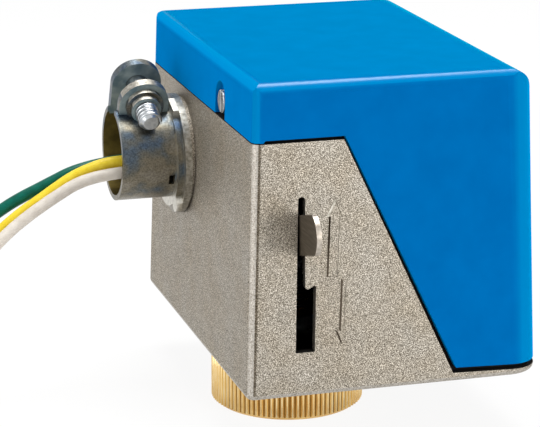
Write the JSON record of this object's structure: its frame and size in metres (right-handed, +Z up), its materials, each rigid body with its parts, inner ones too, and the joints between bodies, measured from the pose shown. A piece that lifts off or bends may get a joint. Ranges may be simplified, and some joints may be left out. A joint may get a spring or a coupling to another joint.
{
  "type": "motorised valve actuator head",
  "caption": "Box-shaped motorised valve head with a knurled union nut, a manual lever in a slot, a clamp connector with wires, and a geared motor that presses a sprung plunger.",
  "frame": {"origin": "union nut axis, in the plane where the valve body seats in the nut", "axes": "+Z up out of the valve, +X right along the slotted front face, +Y to the back"},
  "size_m": [0.1696, 0.1028, 0.0867],
  "materials": {
    "cast_zinc": "fine-grained grey-beige coated die casting",
    "blue_plastic": "blue moulded plastic, satin gloss",
    "plated_screw": "bright zinc-plated screws",
    "brass": "machined brass",
    "steel": "machined steel",
    "spring_steel": "dark spring steel",
    "nickel_plate": "nickel-plated sheet steel with bright edges",
    "nylon": "natural nylon",
    "ferrite": "dark ring magnet",
    "copper": "enamelled copper winding on its bobbin",
    "zinc_plate": "zinc-plated sheet steel",
    "connector_zinc": "dark zinc plating with a faint iridescence",
    "black_plastic": "black moulded terminal plastic",
    "green_pvc": "teal-green wire insulation",
    "yellow_pvc": "yellow wire insulation",
    "white_pvc": "cream-white wire insulation"
  },
  "bodies": {
    "housing": {"base_casting": "cast_zinc", "cover": "blue_plastic", "cover_screw": "plated_screw", "neck_bush": "brass", "neck_lock_ring": "steel", "plunger_spring": "spring_steel", "shaft_bushes": "brass", "idler_arbor": "steel", "motor_coil": "copper", "motor_can": "zinc_plate", "motor_screws": "plated_screw", "gear_plate": "zinc_plate", "motor_plate": "zinc_plate", "plate_posts": "steel", "plate_screws": "plated_screw", "foot_screws": "plated_screw", "connector_flange": "connector_zinc", "connector_strap": "connector_zinc", "clamp_screw": "plated_screw", "connector_locknut": "connector_zinc", "terminal_block": "black_plastic", "wire_green": "green_pvc", "wire_yellow": "yellow_pvc", "wire_white": "white_pvc"},
    "drive": {"drive_lever": "nickel_plate", "lever_shaft": "steel", "shaft_clips": "spring_steel", "roller_arm": "steel", "roller_pin": "steel"},
    "roller": {"cam_roller": "brass"},
    "plunger": {"plunger": "steel"},
    "idler": {"idler_gear": "nylon"},
    "rotor": {"motor_shaft": "steel", "motor_rotor": "ferrite", "motor_pinion": "brass"},
    "nut": {"union_nut": "brass"}
  },
  "joints": [
    {"name": "lever_swing", "type": "hinge", "parent": "housing", "child": "drive", "pos_m": [0, 0.01082, 0.02735], "axis": [1, 0, 0], "range_deg": [0, 21], "stiffness_Nm_per_rad": 0.3, "springref_deg": -5.73},
    {"name": "roller_spin", "type": "hinge", "parent": "drive", "child": "roller", "pos_m": [0, 0, 0.02935], "axis": [1, 0, 0], "continuous": true},
    {"name": "plunger_slide", "type": "slide", "parent": "housing", "child": "plunger", "axis": [0, 0, -1], "range_m": [0, 0.0041], "deforming": ["plunger_spring"]},
    {"name": "idler_turn", "type": "hinge", "parent": "housing", "child": "idler", "pos_m": [0, -0.00654, 0.04803], "axis": [1, 0, 0], "range_deg": [-84.5, 0.5]},
    {"name": "motor_turn", "type": "hinge", "parent": "housing", "child": "rotor", "pos_m": [0, 0.01009, 0.03843], "axis": [1, 0, 0], "range_deg": [-0.5, 252.5]},
    {"name": "nut_turn", "type": "hinge", "parent": "housing", "child": "nut", "pos_m": [0, 0, 0], "axis": [0, 0, 1], "continuous": true}
  ],
  "couplings": [
    {"joint": "plunger_slide", "follows": "lever_swing", "m_per_rad": 0.010939},
    {"joint": "idler_turn", "follows": "lever_swing", "ratio": -4},
    {"joint": "motor_turn", "follows": "lever_swing", "ratio": 12}
  ]
}
